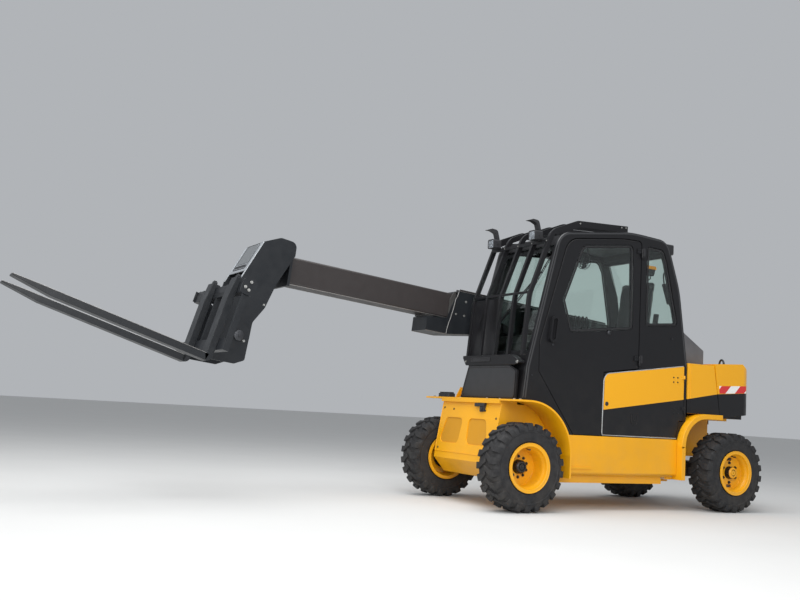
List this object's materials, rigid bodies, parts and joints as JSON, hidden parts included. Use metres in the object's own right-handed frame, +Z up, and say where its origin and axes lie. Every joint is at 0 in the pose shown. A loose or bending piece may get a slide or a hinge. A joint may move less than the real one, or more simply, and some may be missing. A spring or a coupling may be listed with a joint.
{
  "type": "compact telescopic handler",
  "caption": "Compact off-road lift truck with a side-mounted telescopic boom, pallet forks on a tilting carriage, a guarded cab and rear-wheel steering.",
  "frame": {"origin": "bottom centre of the bounding box, on the ground", "axes": "+X to the machine's left, +Y to its rear, +Z up"},
  "size_m": [1.482, 6.3424, 2.4],
  "materials": {
    "yellow_paint": "satin",
    "black_paint": "satin",
    "boom_grey": "satin",
    "tyre_rubber": "matte",
    "clear_glass": "gloss",
    "seat_fabric": "matte",
    "black_plastic": "matte",
    "cast_weight": "satin",
    "engine_iron": "matte",
    "rod_chrome": "gloss",
    "steel_black": "satin",
    "lamp_glass": "gloss"
  },
  "bodies": {
    "chassis": {"boom_tower": "boom_grey", "cab_floor": "black_paint", "cab_frame": "black_paint", "cab_glass": "clear_glass", "cab_roof": "black_plastic", "chassis_frame": "yellow_paint", "console": "black_plastic", "counterweight": "cast_weight", "engine_block": "engine_iron", "engine_hood": "yellow_paint", "front_axle": "steel_black", "front_mudguards": "yellow_paint", "front_panel": "black_paint", "guard_bars": "black_paint", "lamps": "lamp_glass", "rear_axle": "steel_black", "rear_cowl": "black_paint", "rear_mudguards": "yellow_paint", "seat_base": "black_paint", "seat_cushions": "seat_fabric", "side_sills": "yellow_paint", "steering_wheel": "black_plastic"},
    "wheel_front_left": {"tyre_front_left": "tyre_rubber", "rim_front_left": "yellow_paint"},
    "wheel_front_right": {"tyre_front_right": "tyre_rubber", "rim_front_right": "yellow_paint"},
    "wheel_rear_left": {"tyre_rear_left": "tyre_rubber", "rim_rear_left": "yellow_paint"},
    "wheel_rear_right": {"tyre_rear_right": "tyre_rubber", "rim_rear_right": "yellow_paint"},
    "knuckle_left": {"knuckle_left": "steel_black"},
    "knuckle_right": {"knuckle_right": "steel_black"},
    "door": {"door_panel": "black_paint", "door_glass": "clear_glass"},
    "side_hatch": {"side_hatch": "black_paint"},
    "boom_outer": {"boom_outer": "boom_grey"},
    "boom_inner": {"boom_inner": "boom_grey", "boom_head": "steel_black"},
    "lift_barrel": {"lift_barrel": "steel_black"},
    "lift_rod": {"lift_rod": "rod_chrome"},
    "tilt_barrel": {"tilt_barrel": "steel_black"},
    "tilt_rod": {"tilt_rod": "rod_chrome"},
    "carriage": {"carriage": "steel_black", "forks": "steel_black"}
  },
  "joints": [
    {"name": "wheel_front_left_spin", "type": "hinge", "parent": "chassis", "child": "wheel_front_left", "pos_m": [0.596, 0.591, 0.343], "axis": [1, 0, 0], "continuous": true},
    {"name": "wheel_front_right_spin", "type": "hinge", "parent": "chassis", "child": "wheel_front_right", "pos_m": [-0.596, 0.591, 0.343], "axis": [1, 0, 0], "continuous": true},
    {"name": "steer_left", "type": "hinge", "parent": "chassis", "child": "knuckle_left", "pos_m": [0.42, 2.801, 0.343], "axis": [0, 0, 1], "range_deg": [-35, 35]},
    {"name": "steer_right", "type": "hinge", "parent": "chassis", "child": "knuckle_right", "pos_m": [-0.42, 2.801, 0.343], "axis": [0, 0, 1], "range_deg": [-35.1, 35.1]},
    {"name": "wheel_rear_left_spin", "type": "hinge", "parent": "knuckle_left", "child": "wheel_rear_left", "pos_m": [0.617, 2.801, 0.343], "axis": [1, 0, 0], "continuous": true},
    {"name": "wheel_rear_right_spin", "type": "hinge", "parent": "knuckle_right", "child": "wheel_rear_right", "pos_m": [-0.617, 2.801, 0.343], "axis": [1, 0, 0], "continuous": true},
    {"name": "door_swing", "type": "hinge", "parent": "chassis", "child": "door", "pos_m": [0.585, 1.794, 1.7], "axis": [0, 0, 1], "range_deg": [0, 100]},
    {"name": "hatch_swing", "type": "hinge", "parent": "chassis", "child": "side_hatch", "pos_m": [0.583, 2.324, 0.96], "axis": [0, 0, 1], "range_deg": [0, 100]},
    {"name": "boom_lift", "type": "hinge", "parent": "chassis", "child": "boom_outer", "pos_m": [-0.44, 2.671, 1.457], "axis": [-1, 0, 0], "range_deg": [-12, 44]},
    {"name": "boom_extend", "type": "slide", "parent": "boom_outer", "child": "boom_inner", "axis": [0, -0.9963, 0.0858], "range_m": [-1.3, 0]},
    {"name": "carriage_tilt", "type": "hinge", "parent": "boom_inner", "child": "carriage", "pos_m": [-0.44, -1.48212, 1.2143], "axis": [-1, 0, 0], "range_deg": [-55, 8]},
    {"name": "lift_barrel_swing", "type": "hinge", "parent": "chassis", "child": "lift_barrel", "pos_m": [-0.44, 1.291, 0.67], "axis": [-1, 0, 0], "range_deg": [-18.52, 5.09]},
    {"name": "lift_rod_slide", "type": "slide", "parent": "lift_barrel", "child": "lift_rod", "axis": [0, 0.7451, 0.667], "range_m": [-0.1084, 0.395]},
    {"name": "tilt_barrel_swing", "type": "hinge", "parent": "boom_inner", "child": "tilt_barrel", "pos_m": [-0.44, -1.18527, 1.89936], "axis": [-1, 0, 0], "range_deg": [-0.8, 5.2]},
    {"name": "tilt_rod_slide", "type": "slide", "parent": "tilt_barrel", "child": "tilt_rod", "axis": [0, -0.6534, -0.7571], "range_m": [-0.0377, 0.2536]}
  ],
  "couplings": [
    {"joint": "steer_right", "follows": "steer_left", "ratio": 1},
    {"joint": "lift_barrel_swing", "follows": "boom_lift", "ratio": -0.41977},
    {"joint": "lift_rod_slide", "follows": "boom_lift", "m_per_rad": 0.51303},
    {"joint": "tilt_barrel_swing", "follows": "carriage_tilt", "ratio": -0.09358},
    {"joint": "tilt_rod_slide", "follows": "carriage_tilt", "m_per_rad": -0.26316}
  ]
}
